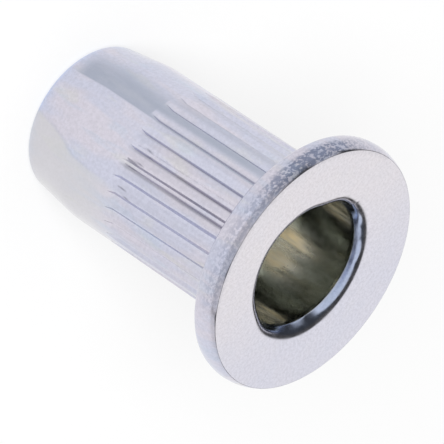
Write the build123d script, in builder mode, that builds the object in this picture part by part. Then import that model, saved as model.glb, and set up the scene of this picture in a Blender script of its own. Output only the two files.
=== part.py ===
from build123d import *
from math import radians, tan
import os

# An M4 rivet nut: a fastener that is set blind in a round hole of a sheet.
# It is one cold-formed steel piece: a flange, a thin grooved barrel that
# buckles behind the sheet, and a thick nose that carries the thread.
# Sizes are in millimetres. The nut stands on the flat end of its nose, with
# its axis on Z, its flange on top and the origin at the centre of that end.

# Overall
overall_length = 11.0
flange_diameter = 9.0
flange_thickness = 1.0
shank_diameter = 5.9

# Rim of the flange: bowed out, and set back at the face and at the underside
rim_face_setback = 0.15
rim_back_setback = 0.10
rim_face_radius = 0.04
rim_back_radius = 0.22
flange_root_size = 0.12

# Bore: a rounded mouth, the plain barrel bore, a cone and the thread
mouth_radius = 0.48
barrel_bore_diameter = 4.6
bore_cone_angle = 45.0
thread_length = 4.8
thread_minor_diameter = 3.242
thread_countersink_diameter = 4.2
thread_countersink_angle = 45.0

# Nose: a slight taper and a rounded end
nose_taper_length = 2.0
nose_taper_angle = 8.0
nose_shoulder_radius = 3.0
nose_edge_radius = 0.35

# Grooves: V-shaped, pressed into the shank along its axis. Each starts as a
# point, drops in over its entry, and deepens slowly up to the flange.
groove_count = 30
groove_length = 5.95
groove_depth = 0.17
groove_angle = 95.0
groove_entry_length = 0.75
groove_entry_depth = 0.07
groove_cutter_height = 0.25

# Radii and heights that follow from these
shank_radius = shank_diameter / 2
flange_radius = flange_diameter / 2
bore_radius = barrel_bore_diameter / 2
minor_radius = thread_minor_diameter / 2
countersink_radius = thread_countersink_diameter / 2
nose_radius = shank_radius - nose_taper_length * tan(radians(nose_taper_angle))
face_height = overall_length
underside_height = overall_length - flange_thickness
cone_height = (bore_radius - minor_radius) / tan(radians(bore_cone_angle))
countersink_depth = (countersink_radius - minor_radius) / tan(radians(thread_countersink_angle))

# Corners of the half section, as (radius, height)
thread_start = (minor_radius, countersink_depth)
countersink_edge = (countersink_radius, 0)
nose_edge = (nose_radius, 0)
nose_shoulder = (shank_radius, nose_taper_length)
shank_top = (shank_radius, underside_height)
rim_back = (flange_radius - rim_back_setback, underside_height)
rim_middle = (flange_radius, (underside_height + face_height) / 2)
rim_face = (flange_radius - rim_face_setback, face_height)
mouth = (bore_radius, face_height)
cone_top = (bore_radius, thread_length + cone_height)
thread_end = (minor_radius, thread_length)

# Radius that each rounded corner of the half section gets
rounded_corners = [
    (nose_edge, nose_edge_radius),
    (nose_shoulder, nose_shoulder_radius),
    (rim_back, rim_back_radius),
    (rim_face, rim_face_radius),
    (mouth, mouth_radius),
]

# Heights and depths of the groove's bottom, from the flange to past its point.
# The last station lies above the surface, so that the point is where the
# bottom line comes out of the shank.
groove_pitch_angle = 360 / groove_count
point_height = underside_height - groove_length
groove_bottom = [
    (underside_height, groove_depth),
    (point_height + groove_entry_length, groove_entry_depth),
    (point_height - groove_entry_length, -groove_entry_depth),
]


# One V-shaped cutter, on the +X side of the shank
with BuildPart() as groove_cutter:
    for height, depth in groove_bottom:
        half_width = (groove_cutter_height + depth) * tan(radians(groove_angle / 2))
        with BuildSketch(Plane.XY.offset(height)):
            Polygon(
                (shank_radius - depth, 0),
                (shank_radius + groove_cutter_height, half_width),
                (shank_radius + groove_cutter_height, -half_width),
                align=None,
            )
    loft(ruled=True)

with BuildPart() as rivet_nut:
    # The turned form: flange, shank, nose and stepped bore
    with BuildSketch(Plane.XZ) as half_section:
        with BuildLine():
            Polyline(thread_start, countersink_edge, nose_edge, nose_shoulder, shank_top, rim_back)
            ThreePointArc(rim_back, rim_middle, rim_face)
            Polyline(rim_face, mouth, cone_top, thread_end, thread_start)
        make_face()
        for corner, radius in rounded_corners:
            fillet(half_section.vertices().sort_by_distance(corner)[0], radius)
    revolve(axis=Axis.Z)

    # The grooves, with a land between two of them centred on +X
    with PolarLocations(0, groove_count, start_angle=groove_pitch_angle / 2):
        add(groove_cutter.part, mode=Mode.SUBTRACT)

    # The root under the flange: a narrow cone that also closes each groove's end
    root_inner_radius = shank_radius - groove_depth - flange_root_size
    root_outer_radius = shank_radius + flange_root_size
    root_height = root_outer_radius - root_inner_radius
    with BuildSketch(Plane.XZ):
        Polygon(
            (root_inner_radius, underside_height),
            (root_outer_radius, underside_height),
            (root_inner_radius, underside_height - root_height),
            align=None,
        )
    revolve(axis=Axis.Z)

rivet_nut.part.label = "rivet_nut"

os.makedirs("parts", exist_ok=True)
export_step(rivet_nut.part, "parts/rivet_nut.step")
print("rivet_nut", "volume", round(rivet_nut.part.volume, 2), "solids", len(rivet_nut.part.solids()))
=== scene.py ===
from math import atan2, cos, pi, radians, sin, tan

import bpy
import numpy as np
from mathutils import Matrix, Vector

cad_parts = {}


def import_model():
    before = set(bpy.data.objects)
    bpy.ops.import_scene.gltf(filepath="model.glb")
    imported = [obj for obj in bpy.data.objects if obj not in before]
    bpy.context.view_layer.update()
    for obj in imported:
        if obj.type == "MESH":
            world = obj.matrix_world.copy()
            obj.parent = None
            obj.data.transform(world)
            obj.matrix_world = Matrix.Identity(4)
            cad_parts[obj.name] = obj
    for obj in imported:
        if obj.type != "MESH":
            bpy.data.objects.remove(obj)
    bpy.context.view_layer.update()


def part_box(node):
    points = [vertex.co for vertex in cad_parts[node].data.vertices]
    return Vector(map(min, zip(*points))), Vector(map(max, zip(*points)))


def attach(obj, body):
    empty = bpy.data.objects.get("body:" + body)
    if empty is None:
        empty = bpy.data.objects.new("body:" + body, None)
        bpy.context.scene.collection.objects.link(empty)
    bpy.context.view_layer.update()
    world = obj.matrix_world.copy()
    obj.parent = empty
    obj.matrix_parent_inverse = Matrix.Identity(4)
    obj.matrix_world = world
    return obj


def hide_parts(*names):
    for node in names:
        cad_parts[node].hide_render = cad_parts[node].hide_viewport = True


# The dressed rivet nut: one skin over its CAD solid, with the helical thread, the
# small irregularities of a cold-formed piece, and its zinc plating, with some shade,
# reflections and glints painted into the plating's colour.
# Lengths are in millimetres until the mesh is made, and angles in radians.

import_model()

MM = 0.001
TURN = 2 * pi

# ---------------------------------------------------------------- sizes of the nut

low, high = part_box("rivet_nut")
LENGTH = (high.z - low.z) / MM
FLANGE_RADIUS = (high.x - low.x) / 2 / MM
FLANGE_THICKNESS = 1.0
UNDERSIDE = LENGTH - FLANGE_THICKNESS
SHANK_RADIUS = 2.95

RIM_FACE_RADIUS = FLANGE_RADIUS - 0.15
RIM_BACK_RADIUS = FLANGE_RADIUS - 0.10
RIM_FACE_ROUNDING = 0.04
RIM_BACK_ROUNDING = 0.22
ROOT_SIZE = 0.12

BORE_RADIUS = 2.28
# the mouth: a rounded lip that runs out into a steep cone
LIP_RADIUS = 2.88
LIP_ROUNDING = 0.57
LIP_CONE_TILT = radians(66)
LIP_CONE_LENGTH = 0.20
BORE_TOP_DEPTH = 0.66
THREAD_TOP = 4.8
THREAD_MINOR_RADIUS = 1.621
THREAD_MAJOR_RADIUS = 2.0
THREAD_PITCH = 0.7
# the flanks' slope, and the share of the pitch that the flat crest takes
THREAD_FLANK_SLOPE = 1.4
THREAD_CREST = 0.22
COUNTERSINK_RADIUS = 2.1

NOSE_TAPER_LENGTH = 2.0
NOSE_TAPER_ANGLE = radians(8.0)
NOSE_SHOULDER_ROUNDING = 3.0
NOSE_EDGE_ROUNDING = 0.35

GROOVE_COUNT = 30
GROOVE_PITCH = TURN / GROOVE_COUNT
GROOVE_PITCH_DEGREES = 360 / GROOVE_COUNT
GROOVE_LENGTH = 5.95
GROOVE_DEPTH = 0.16
GROOVE_HALF_ANGLE = radians(58)
GROOVE_ENTRY_LENGTH = 0.45
GROOVE_ENTRY_DEPTH = 0.11
GROOVE_START = UNDERSIDE - GROOVE_LENGTH
# the punch leaned a little: one flank is wider than the other, and each groove drifts sideways
FLANK_SHARES = (1.15, 0.85)
# the drift in each millimetre of height, and the height where a groove is at its own place
GROOVE_DRIFT = radians(0.28)
GROOVE_DRIFT_MIDDLE = 6.5

# ---------------------------------------------------------------- studio

VIEW_AZIMUTH = 2.5
WORLD_LIGHT = 0.62
FLOOR_LIFT = 0.65
STUDIO_DARK = 0.06
# softboxes as the metal sees them: azimuth and elevation of the middle, inner and outer radius
SOFTBOXES = (
    (90, 62, 46, 54),
    (270, -35, 68, 76),
    (-28, 14, 14, 20),
    (2, 0, 12, 17),
    (26, 0, 13, 18),
    (190, 5, 13, 19),
)

# ---------------------------------------------------------------- mesh resolution

COARSE = 240
MIDDLE = 480
FINE = 720
ROWS_PER_THREAD_TURN = 16


# ---------------------------------------------------------------- outlines


def straight(start, end, steps):
    """Points from start to end, both (radius, height), without the start."""
    return [
        (start[0] + (end[0] - start[0]) * k / steps, start[1] + (end[1] - start[1]) * k / steps)
        for k in range(1, steps + 1)
    ]


def arc(centre, radius, first, last, steps):
    """Points on an arc round centre (radius, height), from angle first to last, without the first."""
    return [
        (
            centre[0] + radius * cos(first + (last - first) * k / steps),
            centre[1] + radius * sin(first + (last - first) * k / steps),
        )
        for k in range(1, steps + 1)
    ]


def circle_through(a, b, c):
    """Centre and radius of the circle through three points."""
    matrix = np.array([[b[0] - a[0], b[1] - a[1]], [c[0] - a[0], c[1] - a[1]]]) * 2
    squares = [p[0] ** 2 + p[1] ** 2 for p in (a, b, c)]
    centre = np.linalg.solve(matrix, [squares[1] - squares[0], squares[2] - squares[0]])
    return centre, float(np.hypot(*(np.array(a) - centre)))


def nose_outline():
    """From the countersink's edge outwards over the nose and up to where the grooves start."""
    slope = tan(NOSE_TAPER_ANGLE)
    edge = NOSE_EDGE_ROUNDING
    end_radius = SHANK_RADIUS - NOSE_TAPER_LENGTH * slope
    centre = (end_radius + edge * slope - edge / cos(NOSE_TAPER_ANGLE), edge)
    points = straight((COUNTERSINK_RADIUS, 0.0), (centre[0], 0.0), 4)
    points += arc(centre, edge, -pi / 2, -NOSE_TAPER_ANGLE, 10)
    shoulder = NOSE_SHOULDER_ROUNDING * tan(NOSE_TAPER_ANGLE / 2)
    shoulder_start = (
        SHANK_RADIUS - shoulder * sin(NOSE_TAPER_ANGLE),
        NOSE_TAPER_LENGTH - shoulder * cos(NOSE_TAPER_ANGLE),
    )
    points += straight(points[-1], shoulder_start, 8)
    shoulder_centre = (SHANK_RADIUS - NOSE_SHOULDER_ROUNDING, NOSE_TAPER_LENGTH + shoulder)
    points += arc(shoulder_centre, NOSE_SHOULDER_ROUNDING, -NOSE_TAPER_ANGLE, 0, 6)
    points += straight(points[-1], (SHANK_RADIUS, GROOVE_START - 0.1), 10)
    return points


def underside_outline():
    """From the root outwards under the flange."""
    return straight((SHANK_RADIUS + ROOT_SIZE, UNDERSIDE), (RIM_BACK_RADIUS - 0.3, UNDERSIDE), 5)


def rim_outline():
    """Round the flange's bowed rim, from the underside to the face."""
    middle = (FLANGE_RADIUS, (UNDERSIDE + LENGTH) / 2)
    centre, bow = circle_through((RIM_BACK_RADIUS, UNDERSIDE), middle, (RIM_FACE_RADIUS, LENGTH))

    def rounding_centre(rounding, height):
        reach = bow - rounding
        return centre[0] + (reach**2 - (height - centre[1]) ** 2) ** 0.5, height

    back = rounding_centre(RIM_BACK_ROUNDING, UNDERSIDE + RIM_BACK_ROUNDING)
    face = rounding_centre(RIM_FACE_ROUNDING, LENGTH - RIM_FACE_ROUNDING)
    bow_start = atan2(back[1] - centre[1], back[0] - centre[0])
    bow_end = atan2(face[1] - centre[1], face[0] - centre[0])
    points = [(back[0], UNDERSIDE)]
    points += arc(back, RIM_BACK_ROUNDING, -pi / 2, bow_start, 7)
    points += arc(centre, bow, bow_start, bow_end, 14)
    points += arc(face, RIM_FACE_ROUNDING, bow_end, pi / 2, 4)
    return points


def face_outline():
    """In over the face from the rim to the bore's mouth."""
    return straight((RIM_FACE_RADIUS - 0.05, LENGTH), (LIP_RADIUS + 0.05, LENGTH), 12)


def mouth_outline():
    """Over the rounded lip and down its cone to the bore."""
    centre = (LIP_RADIUS, LENGTH - LIP_ROUNDING)
    points = arc(centre, LIP_ROUNDING, pi / 2, pi / 2 + LIP_CONE_TILT, 16)
    end = points[-1]
    cone_end = (
        end[0] - LIP_CONE_LENGTH * cos(LIP_CONE_TILT),
        end[1] - LIP_CONE_LENGTH * sin(LIP_CONE_TILT),
    )
    return [(LIP_RADIUS, LENGTH)] + points + straight(end, cone_end, 4)


def bore_outline():
    """Down the barrel's bore and the cone to the thread."""
    cone_height = BORE_RADIUS - THREAD_MINOR_RADIUS
    top = (BORE_RADIUS, LENGTH - BORE_TOP_DEPTH)
    cone_top = (BORE_RADIUS, THREAD_TOP + cone_height)
    cone_end = (THREAD_MINOR_RADIUS + 0.02, THREAD_TOP + 0.02)
    return [top] + straight(top, cone_top, 24) + straight(cone_top, cone_end, 6)


# ---------------------------------------------------------------- grooves and thread


def groove_offset(angles, heights):
    """Angle from the middle of the nearest groove."""
    drifted = angles - GROOVE_DRIFT * (GROOVE_DRIFT_MIDDLE - heights)
    return (drifted % GROOVE_PITCH) - GROOVE_PITCH / 2


def groove_cut(angles, height):
    """How deep the grooves cut below the shank's surface, round one ring.

    Each has a rounded bottom and rounded edges, and is nearly as deep as the V in the solid, but wider.
    """
    along = height - GROOVE_START
    entry = along * GROOVE_ENTRY_DEPTH / GROOVE_ENTRY_LENGTH
    run_share = (along - GROOVE_ENTRY_LENGTH) / (GROOVE_LENGTH - GROOVE_ENTRY_LENGTH)
    run = GROOVE_ENTRY_DEPTH + (GROOVE_DEPTH - GROOVE_ENTRY_DEPTH) * run_share
    depth = min(entry, run)
    if depth <= 0:
        return np.zeros(len(angles))
    offset = groove_offset(angles, height)
    half_width = depth * tan(GROOVE_HALF_ANGLE) / SHANK_RADIUS * np.where(offset < 0, *FLANK_SHARES)
    share = np.minimum(np.abs(offset) / half_width, 1)
    return depth * (1 + np.cos(pi * share)) / 2


def groove_heights():
    """Heights of the rings on the grooved length, closer together where the grooves start."""
    entry_end = GROOVE_START + GROOVE_ENTRY_LENGTH + 0.1
    entry = list(np.arange(GROOVE_START - 0.05, entry_end, 0.05))
    return entry + list(np.linspace(entry_end, UNDERSIDE - 0.35, 24))


def thread_radii(angles, height):
    """The right-hand thread, cut outwards from its minor diameter, with a countersink at its lower end."""
    # 0 in the middle of a crest, 1 in the middle of a root; both are flats
    phase = (height / THREAD_PITCH - angles / TURN) % 1.0
    share = np.clip((1 - np.abs(2 * phase - 1)) * THREAD_FLANK_SLOPE - THREAD_CREST, 0, 1)
    run_out = np.clip((THREAD_TOP - height) / (THREAD_PITCH * 0.5), 0, 1)
    radii = THREAD_MINOR_RADIUS + (THREAD_MAJOR_RADIUS - THREAD_MINOR_RADIUS) * share * run_out
    return np.maximum(radii, COUNTERSINK_RADIUS - height)


# ---------------------------------------------------------------- the skin


class Skin:
    """A closed surface built ring by ring; each ring is a loop of points round the nut's axis."""

    def __init__(self):
        self.rings = []

    def ring(self, angles, radii, heights):
        count = len(angles)
        self.rings.append((angles, np.broadcast_to(radii, count), np.broadcast_to(heights, count)))

    def outline(self, points, count):
        """Turns an outline round the axis, one ring for each of its points."""
        for radius, height in points:
            self.ring(even_angles(count), radius, height)

    def columns(self):
        """Angle, radius and height of every point."""
        return [np.concatenate([ring[k] for ring in self.rings]) for k in range(3)]

    def faces(self):
        starts = np.cumsum([0] + [len(ring[0]) for ring in self.rings])
        bands = []
        for k, ring in enumerate(self.rings):
            after = (k + 1) % len(self.rings)
            bands += zip_rings(ring[0], starts[k], self.rings[after][0], starts[after])
        return bands


def even_angles(count):
    return np.arange(count) / count * TURN


def zip_rings(angles_a, start_a, angles_b, start_b):
    """Fills the band between two rings: quads where they match, triangles where one is finer."""
    count_a, count_b = len(angles_a), len(angles_b)
    if count_a == count_b:
        return [
            (
                int(start_a + i),
                int(start_a + (i + 1) % count_a),
                int(start_b + (i + 1) % count_b),
                int(start_b + i),
            )
            for i in range(count_a)
        ]
    faces = []
    i = j = 0
    while i < count_a or j < count_b:
        at_a = int(start_a + i % count_a)
        at_b = int(start_b + j % count_b)
        if j >= count_b or (i < count_a and (i + 1) / count_a <= (j + 1) / count_b):
            i += 1
            faces.append((at_a, int(start_a + i % count_a), at_b))
        else:
            j += 1
            faces.append((at_a, int(start_b + j % count_b), at_b))
    return faces


def nut_skin():
    skin = Skin()
    skin.outline(nose_outline(), MIDDLE)
    angles = even_angles(FINE)
    for height in groove_heights():
        skin.ring(angles, SHANK_RADIUS - groove_cut(angles, height), height)
    root_radii = SHANK_RADIUS - groove_cut(angles, UNDERSIDE - 0.2)
    skin.ring(angles, root_radii, UNDERSIDE - (SHANK_RADIUS + ROOT_SIZE - root_radii))
    skin.outline([(SHANK_RADIUS + ROOT_SIZE, UNDERSIDE)], FINE)
    skin.outline(underside_outline(), COARSE)
    skin.outline(rim_outline(), MIDDLE)
    skin.outline(face_outline(), MIDDLE)
    skin.outline(mouth_outline(), MIDDLE)
    skin.outline(bore_outline(), COARSE)
    rows = ROWS_PER_THREAD_TURN * int(THREAD_TOP / THREAD_PITCH)
    angles = even_angles(COARSE // 2)
    for height in np.linspace(THREAD_TOP, 0, rows + 1):
        skin.ring(angles, thread_radii(angles, height), height)
    return skin


# ---------------------------------------------------------------- irregularities, marks, and painted shade and reflections

# Places round the nut are given here in degrees from the left edge of the pictured side, so
# that 90 faces the camera and 180 is that side's right edge.

# bulges of the lip: middle, spread and how far out the lip moves
LIP_BULGES = (
    (36, 15, -0.12),
    (95, 26, 0.11),
    (155, 16, -0.06),
    (220, 24, 0.08),
    (285, 30, -0.04),
    (338, 22, 0.04),
)
LIP_BULGE_LIMIT = 3.25
# short dark nicks beside the grooves: place, lower end, upper end
NICKS = (
    (97.2, 4.50, 4.85),
    (96.2, 4.85, 5.20),
    (116.0, 4.62, 4.86),
    (120.3, 5.00, 5.16),
    (85.7, 4.88, 5.06),
)
NICK_WIDTH = 0.55
# the painted reflection stripe along the shank, a dark band painted in for a reflection of a dark part of
# the room: places where it starts, is full, ends and is gone
REFLECTION_STRIPE = (36, 58, 66.4, 67.6)
# the wandering edge of a painted reflection on the nose, a thin dark line with a greyer tone beyond it:
# heights and places
REFLECTION_EDGE = ((0.3, 1.0, 1.7, 2.3, 3.2), (105, 107, 110, 116, 118))
RIM_INNER_RADIUS = 4.2


def seen_place(angles):
    """The place, as given above, of each angle round the axis."""
    return (np.degrees(angles) - 180 - VIEW_AZIMUTH) % 360


def bump(values, middle, spread):
    """1 at the middle, falling to 0 a few spreads away."""
    return np.exp(-(((values - middle) / spread) ** 2))


def step(values, start, end):
    """0 before start, 1 past end, smooth between; start may be above end."""
    share = np.clip((values - start) / (end - start), 0, 1)
    return share * share * (3 - 2 * share)


def lip_shift(angles, radii, heights):
    """How far the lip stands out of round."""
    near_lip = step(radii, LIP_BULGE_LIMIT, LIP_RADIUS + 0.05) * step(heights, LENGTH - 0.6, LENGTH - 0.15)
    seen = seen_place(angles)
    return near_lip * sum(reach * bump(seen, middle, spread) for middle, spread, reach in LIP_BULGES)


def groove_shade_and_nicks(angles, radii, heights):
    """Painted shade down one flank of each groove and over the land beside it, and the nicks."""
    seen = seen_place(angles)
    on_shank = (radii > 2.6) & (radii < SHANK_RADIUS + 0.01) & (heights < UNDERSIDE)
    offset = np.degrees(groove_offset(angles, heights))
    number = np.floor(np.degrees(angles) / GROOVE_PITCH_DEGREES)
    uneven = 0.85 + 0.15 * np.sin(2.3 * number)
    # the painted shade is fainter from about 106 to 185
    fainter_shade_side = step(seen, 104, 108) * step(seen, 190, 180)
    strength = uneven * (1 - 0.85 * fainter_shade_side)
    grooved = step(heights, GROOVE_START + 0.1, GROOVE_START + 0.7) * (0.75 + 0.25 * step(heights, 5.5, 7.5))
    dark = bump(offset, 2.2, 1.2) * strength * grooved
    # the painted shade thins out over the land beside the groove, and the lands are painted a little darker
    # than the nose
    shade_tail = 0.36 * step(offset, 1.8, 2.4) * step(offset, 5.8, 2.4) * strength * grooved
    land_shade = 0.14 * (step(offset, 3.0, 4.2) + step(offset, -3.8, -5.2)) * step(heights, 4.0, 5.0)
    dark = np.maximum(np.maximum(dark, shade_tail), land_shade)
    for place, low_end, high_end in NICKS:
        length = step(heights, low_end - 0.05, low_end) * step(heights, high_end + 0.05, high_end)
        dark = np.maximum(dark, bump(seen, place, NICK_WIDTH) * length)
    return dark * on_shank


def painted_reflections(angles, radii, heights):
    """A painted reflection: a blue-grey stripe along the shank with one sharp side, and a thin dark line at
    a reflection's edge on the nose.
    """
    seen = seen_place(angles)
    outside = (radii > 2.4) & (heights < UNDERSIDE)
    start, full, end, gone = REFLECTION_STRIPE
    reflection_stripe = step(seen, start, full) * step(seen, gone, end) * step(heights, 0.2, 0.9)
    reflection_edge_place = np.interp(heights, *REFLECTION_EDGE)
    edge = 0.22 * bump(seen, reflection_edge_place, 1.3) * step(heights, 3.5, 3.0)
    on_flank = bump(np.degrees(groove_offset(angles, heights)), -1.6, 2.4) * (heights > GROOVE_START)
    return np.maximum(reflection_stripe * (1 - 0.9 * on_flank), edge) * outside


def painted_warm_reflection(angles, radii, heights):
    """A painted reflection: the nose is greyer beyond the reflection's edge."""
    seen = seen_place(angles)
    beside = step(seen - np.interp(heights, *REFLECTION_EDGE), -1, 2) * step(seen, 200, 180)
    return beside * step(heights, 5.0, 3.0) * (radii > 2.4)


def pits_and_reflection(angles, radii, heights):
    """Where the rim is pitted next to the face. The dark arc round 47 in that band is a painted reflection
    of a dark part of the room; the band is a little darker from about 66 to 130, and the whole rim is a
    little darker below about 130.
    """
    seen = seen_place(angles)
    on_rim = radii > RIM_INNER_RADIUS
    band = on_rim * step(heights, 10.30, 10.62) * step(heights, LENGTH - 0.01, LENGTH - 0.05)
    dark = band * (1.15 * bump(seen, 47, 22) + 0.24 * step(seen, 60, 72) * step(seen, 138, 122))
    return dark + 0.16 * on_rim * step(heights, UNDERSIDE, UNDERSIDE + 0.1) * step(seen, 145, 120)


def painted_glints(angles, radii, heights):
    """Painted glints: golden patches on the bore's wall, opposite the camera, where light thrown into the
    bore would shine.
    """
    place = np.degrees(angles) % 360
    yellow = bump(place, 104, 9) * bump(heights, 8.1, 0.9)
    brown = 0.7 * bump(place, 82, 12) * bump(heights, 8.0, 0.9)
    return np.maximum(yellow, brown) * (radii < BORE_RADIUS + 0.02)


# the groove shade, the stripe and edge on the nose, the rim's dark arc and the golden glints are painted
# light
MARKS = {"groove_shade_and_nicks": groove_shade_and_nicks, "painted_reflections": painted_reflections, "painted_warm_reflection": painted_warm_reflection, "pits_and_reflection": pits_and_reflection, "painted_glints": painted_glints}


def nut_object():
    skin = nut_skin()
    angles, radii, heights = skin.columns()
    radii = radii + lip_shift(angles, radii, heights)
    points = np.stack([radii * np.cos(angles), radii * np.sin(angles), heights], axis=1) * MM
    mesh = bpy.data.meshes.new("rivet_nut_skin")
    mesh.from_pydata(points.tolist(), [], skin.faces())
    mesh.validate()
    mesh.polygons.foreach_set("use_smooth", [True] * len(mesh.polygons))
    mesh.update()
    for name, mark in MARKS.items():
        values = mark(angles, radii, heights).astype(np.float32)
        mesh.attributes.new(name, "FLOAT", "POINT").data.foreach_set("value", values)
    obj = bpy.data.objects.new("rivet_nut_skin", mesh)
    bpy.context.scene.collection.objects.link(obj)
    return obj


# ---------------------------------------------------------------- materials


class Nodes:
    """Short ways to add the nodes that the materials use."""

    def __init__(self, tree):
        self.nodes = tree.nodes
        self.links = tree.links

    def put(self, value, socket):
        """Links an output to a socket, or sets the socket to a plain value."""
        if isinstance(value, bpy.types.NodeSocket):
            self.links.new(value, socket)
        else:
            socket.default_value = value

    def math(self, operation, a, b=0.0):
        node = self.nodes.new("ShaderNodeMath")
        node.operation = operation
        self.put(a, node.inputs[0])
        self.put(b, node.inputs[1])
        return node.outputs[0]

    def vector(self, operation, a, b=(0, 0, 0)):
        node = self.nodes.new("ShaderNodeVectorMath")
        node.operation = operation
        self.put(a, node.inputs[0])
        self.put(b, node.inputs[1])
        return node.outputs["Value" if operation in ("LENGTH", "DOT_PRODUCT") else "Vector"]

    def ramp(self, value, start, end, low=0.0, high=1.0):
        """low below start, high above end, smooth between; start may be above end."""
        node = self.nodes.new("ShaderNodeMapRange")
        node.interpolation_type = "SMOOTHSTEP"
        self.put(value, node.inputs["Value"])
        self.put(start, node.inputs["From Min"])
        self.put(end, node.inputs["From Max"])
        self.put(low, node.inputs["To Min"])
        self.put(high, node.inputs["To Max"])
        return node.outputs["Result"]

    def noise(self, place, scale, detail=2.0, roughness=0.5):
        """Noise with its middle at 0.5; scale is in cycles per millimetre."""
        node = self.nodes.new("ShaderNodeTexNoise")
        self.put(place, node.inputs["Vector"])
        node.inputs["Scale"].default_value = scale
        node.inputs["Detail"].default_value = detail
        node.inputs["Roughness"].default_value = roughness
        return node.outputs["Fac"]

    def mark(self, name):
        """A mark that the mesh carries as an attribute."""
        node = self.nodes.new("ShaderNodeAttribute")
        node.attribute_name = name
        return node.outputs["Fac"]

    def blend(self, share, a, b, mode="MIX"):
        node = self.nodes.new("ShaderNodeMix")
        node.data_type = "RGBA"
        node.blend_type = mode
        self.put(share, node.inputs["Factor"])
        self.put(a, node.inputs[6])
        self.put(b, node.inputs[7])
        return node.outputs[2]


def rgb(red, green, blue):
    return red, green, blue, 1.0


LAVENDER = rgb(0.60, 0.61, 0.725)
PINK = rgb(0.655, 0.63, 0.71)
STRAW = rgb(0.66, 0.66, 0.62)
BLUE = rgb(0.53, 0.61, 0.74)
FACE_HIGHLIGHT_WARM = rgb(0.99, 0.95, 0.99)
FACE_HIGHLIGHT_COOL = rgb(0.89, 0.885, 0.99)
LIP_REFLECTION_BLUE = rgb(0.50, 0.60, 0.84)
WARM_REFLECTION_GREY = rgb(0.635, 0.635, 0.645)
SHADE_AND_NICK_GREY = rgb(0.20, 0.20, 0.25)
REFLECTION_GREY = rgb(0.40, 0.43, 0.52)
PIT_AND_REFLECTION_BLUE = rgb(0.13, 0.16, 0.25)
BORE_OLIVE = rgb(0.50, 0.49, 0.38)
BORE_PALE = rgb(0.86, 0.88, 0.82)
GLINT_GOLD = rgb(0.99, 0.80, 0.46)
FLOOR_WHITE = rgb(0.96, 0.96, 0.96)


def passivation(n, stretched):
    """Lavender plating with pink, blue and straw patches, which lie apart from one another."""
    pink = n.ramp(n.noise(stretched, 1.1, 3), 0.42, 0.58)
    straw = n.ramp(n.noise(n.vector("ADD", stretched, (9, 4, 2)), 1.6, 3), 0.54, 0.66, 0, 0.35)
    blue = n.ramp(n.noise(n.vector("ADD", stretched, (3, 8, 5)), 1.9, 3), 0.55, 0.68, 0, 0.35)
    colour = n.blend(pink, LAVENDER, PINK)
    colour = n.blend(straw, colour, STRAW)
    return n.blend(blue, colour, BLUE)


def face_and_lip(n, colour, place, radius, height):
    """The flat face is painted brighter and more even than the rest of the plating as a painted highlight,
    with a painted reflection grading from warm to cool across it, and the lip's steep part is painted blue
    for a reflection.
    """
    within_rim = n.ramp(radius, RIM_FACE_RADIUS + 0.02, RIM_FACE_RADIUS - 0.01, 0, 0.85)
    on_face = n.math("MULTIPLY", n.ramp(height, LENGTH - 0.35, LENGTH - 0.15), within_rim)
    # painted reflection: warm to cool across the face
    across = n.vector("DOT_PRODUCT", place, direction(62, 0))
    face = n.blend(n.ramp(across, -2.5, 3.0), FACE_HIGHLIGHT_WARM, FACE_HIGHLIGHT_COOL)
    colour = n.blend(on_face, colour, face)
    # painted reflection: the lip's steep part blue
    within_lip = n.ramp(radius, 2.75, 2.62, 0, 0.75)
    on_lip = n.math("MULTIPLY", n.ramp(height, LENGTH - 0.16, LENGTH - 0.26), within_lip)
    return n.blend(on_lip, colour, LIP_REFLECTION_BLUE)


def grained(n, colour, place):
    """A fine grain in the brightness."""
    grain = n.ramp(n.noise(place, 9, 3, 0.65), 0.3, 0.7, 0.94, 1.05)
    colour = n.vector("SCALE", colour)
    n.put(grain, colour.node.inputs["Scale"])
    return colour


def marked(n, colour, place, stretched):
    """The marks that the mesh carries: nicks and pits, with painted shade and painted reflections."""
    # painted reflection: the nose greyer beyond the reflection's edge
    colour = n.blend(n.math("MULTIPLY", n.mark("painted_warm_reflection"), 0.6), colour, WARM_REFLECTION_GREY)
    # painted shade in the grooves, and the nicks
    colour = n.blend(n.math("MULTIPLY", n.mark("groove_shade_and_nicks"), 0.88), colour, SHADE_AND_NICK_GREY)
    # painted reflections: the stripe along the shank and the thin dark line on the nose
    cloud = n.ramp(n.noise(stretched, 2.4, 4, 0.65), 0.30, 0.62, 0.80, 1.0)
    colour = n.blend(n.math("MULTIPLY", n.mark("painted_reflections"), cloud), colour, REFLECTION_GREY)
    # pits on the rim, with a painted reflection darkening one arc of them
    flattened = n.vector("MULTIPLY", place, (1, 1, 1.4))
    specks = n.ramp(n.noise(flattened, 7, 3, 0.7), 0.42, 0.56, 0.30, 1.0)
    pit_and_reflection_share = n.math("MULTIPLY", n.mark("pits_and_reflection"), specks)
    return n.blend(n.math("MINIMUM", pit_and_reflection_share, 0.85), colour, PIT_AND_REFLECTION_BLUE)


def bore_plating(n, colour, place, radius):
    """Dark veined plating inside the bore with golden patches painted in as glints, and how much of the
    painted glint there is.
    """
    inside = n.ramp(radius, BORE_RADIUS + 0.03, BORE_RADIUS - 0.01)
    slanted = n.vector("ADD", place, n.vector("MULTIPLY", place, (0.8, 0, -0.65)))
    veins = n.ramp(n.noise(slanted, 1.7, 5, 0.62), 0.32, 0.66)
    colour = n.blend(inside, colour, n.blend(veins, BORE_OLIVE, BORE_PALE))
    patches = n.ramp(n.noise(slanted, 2.2, 2, 0.5), 0.22, 0.60, 0.2, 1.0)
    # painted glints on the bore's far wall
    glint = n.math("MULTIPLY", n.mark("painted_glints"), patches)
    return n.blend(glint, colour, GLINT_GOLD), glint


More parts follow.
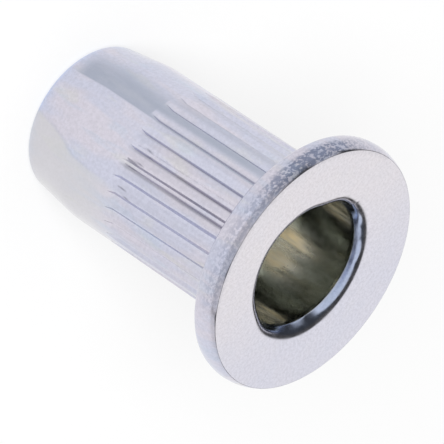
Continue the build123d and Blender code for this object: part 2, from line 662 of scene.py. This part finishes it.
def zinc_material():
    material = bpy.data.materials.new("zinc_plate")
    material.use_nodes = True
    bsdf = material.node_tree.nodes["Principled BSDF"]
    n = Nodes(material.node_tree)

    # the place on the nut in millimetres
    place = n.vector("SCALE", n.nodes.new("ShaderNodeTexCoord").outputs["Object"])
    place.node.inputs["Scale"].default_value = 1 / MM
    stretched = n.vector("MULTIPLY", place, (1.0, 1.0, 0.25))
    radius = n.vector("LENGTH", n.vector("MULTIPLY", place, (1, 1, 0)))
    split = n.nodes.new("ShaderNodeSeparateXYZ")
    n.put(place, split.inputs[0])
    height = split.outputs["Z"]

    colour = passivation(n, stretched)
    colour = face_and_lip(n, colour, place, radius, height)
    colour = grained(n, colour, place)
    colour = marked(n, colour, place, stretched)
    colour, glint = bore_plating(n, colour, place, radius)
    n.put(colour, bsdf.inputs["Base Color"])

    # the painted glint is rougher and hardly metallic, so that it shows the lamp
    rough = n.ramp(n.noise(place, 2.5, 3), 0.35, 0.65, 0.12, 0.20)
    n.put(n.math("ADD", rough, n.math("MULTIPLY", glint, 0.35)), bsdf.inputs["Roughness"])
    n.put(n.math("SUBTRACT", 1.0, n.math("MULTIPLY", glint, 0.85)), bsdf.inputs["Metallic"])

    relief = n.nodes.new("ShaderNodeBump")
    n.put(n.noise(place, 6.5, 3, 0.6), relief.inputs["Height"])
    relief.inputs["Strength"].default_value = 0.18
    relief.inputs["Distance"].default_value = 0.006 * MM
    n.put(relief.outputs["Normal"], bsdf.inputs["Normal"])
    return material


# ---------------------------------------------------------------- floor, light and camera


def direction(azimuth, elevation):
    """A unit vector: azimuth in degrees from +X towards +Y, elevation above the floor."""
    az, el = radians(azimuth), radians(elevation)
    return Vector((cos(az) * cos(el), sin(az) * cos(el), sin(el)))


def seen_share(n, share):
    """share for camera, glossy and transmission rays, 0 for the rays that light things."""
    path = n.nodes.new("ShaderNodeLightPath")
    seen = n.math("MAXIMUM", path.outputs["Is Camera Ray"], path.outputs["Is Glossy Ray"])
    return n.math("MULTIPLY", n.math("MAXIMUM", seen, path.outputs["Is Transmission Ray"]), share)


def floor():
    size = 1.0
    mesh = bpy.data.meshes.new("floor")
    corners = [(-size, -size, 0), (size, -size, 0), (size, size, 0), (-size, size, 0)]
    mesh.from_pydata(corners, [], [(0, 1, 2, 3)])
    obj = bpy.data.objects.new("floor", mesh)
    bpy.context.scene.collection.objects.link(obj)
    material = bpy.data.materials.new("floor")
    material.use_nodes = True
    n = Nodes(material.node_tree)
    bsdf = n.nodes["Principled BSDF"]
    bsdf.inputs["Base Color"].default_value = FLOOR_WHITE
    bsdf.inputs["Roughness"].default_value = 0.9
    bsdf.inputs["Specular IOR Level"].default_value = 0.2
    # what is seen of the floor, by eye or in the metal, is lifted towards white
    glow = n.nodes.new("ShaderNodeEmission")
    mix = n.nodes.new("ShaderNodeMixShader")
    n.put(seen_share(n, FLOOR_LIFT), mix.inputs["Fac"])
    n.put(bsdf.outputs["BSDF"], mix.inputs[1])
    n.put(glow.outputs["Emission"], mix.inputs[2])
    n.put(mix.outputs["Shader"], n.nodes["Material Output"].inputs["Surface"])
    obj.data.materials.append(material)


def lamp(name, azimuth, elevation, distance, size, power):
    """An area lamp that faces the nut's middle.

    Only matt surfaces show it: the floor, and the painted golden glints. The metal sees the softboxes.
    """
    way = direction(azimuth, elevation)
    data = bpy.data.lights.new(name, "AREA")
    data.shape = "SQUARE"
    data.size = size
    data.energy = power
    obj = bpy.data.objects.new(name, data)
    obj.location = way * distance + Vector((0, 0, LENGTH / 2 * MM))
    obj.rotation_euler = way.to_track_quat("Z", "Y").to_euler()
    obj.visible_glossy = False
    bpy.context.scene.collection.objects.link(obj)


def world():
    """A dim room with two large softboxes and four small ones, which looks white to the camera."""
    sky = bpy.data.worlds.new("studio")
    bpy.context.scene.world = sky
    sky.use_nodes = True
    n = Nodes(sky.node_tree)
    light = n.nodes["Background"]
    light.inputs["Color"].default_value = rgb(1, 1, 1)
    light.inputs["Strength"].default_value = WORLD_LIGHT
    way = n.nodes.new("ShaderNodeTexCoord").outputs["Generated"]
    brightness = n.nodes.new("ShaderNodeLightPath").outputs["Is Camera Ray"]
    for azimuth, elevation, inner, outer in SOFTBOXES:
        dot = n.vector("DOT_PRODUCT", way, direction(azimuth, elevation))
        box = n.ramp(dot, cos(radians(outer)), cos(radians(inner)), STUDIO_DARK, 1.0)
        brightness = n.math("MAXIMUM", brightness, box)
    seen = n.nodes.new("ShaderNodeBackground")
    n.put(brightness, seen.inputs["Strength"])
    mix = n.nodes.new("ShaderNodeMixShader")
    n.put(seen_share(n, 1.0), mix.inputs["Fac"])
    n.put(light.outputs["Background"], mix.inputs[1])
    n.put(seen.outputs["Background"], mix.inputs[2])
    n.put(mix.outputs["Shader"], n.nodes["World Output"].inputs["Surface"])


def camera():
    """The photographed view: from above the flange, rolled so that the flange is at the lower right."""
    elevation = 34.2
    roll = 124.1
    distance = 182.5 * MM
    # the point looked at, in millimetres, before it is turned to the view's azimuth
    aim_point = Vector((0.37, 0.0, 6.97))
    aim = Matrix.Rotation(radians(VIEW_AZIMUTH), 3, "Z") @ aim_point * MM
    back = direction(VIEW_AZIMUTH - 90, elevation)
    data = bpy.data.cameras.new("camera")
    data.lens = 453.0
    data.sensor_width = 36.0
    data.clip_start = 10 * MM
    data.clip_end = 10.0
    cam = bpy.data.objects.new("camera", data)
    cam.rotation_mode = "QUATERNION"
    cam.rotation_quaternion = (
        back.to_track_quat("Z", "Y") @ Matrix.Rotation(radians(roll), 3, "Z").to_quaternion()
    )
    cam.location = aim + back * distance
    bpy.context.scene.collection.objects.link(cam)
    bpy.context.scene.camera = cam


bpy.context.scene.view_settings.view_transform = "Standard"
nut = nut_object()
nut.data.materials.append(zinc_material())
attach(nut, "root")
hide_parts("rivet_nut")
floor()
world()
lamp("key", azimuth=275, elevation=37, distance=0.25, size=0.12, power=0.55)
camera()
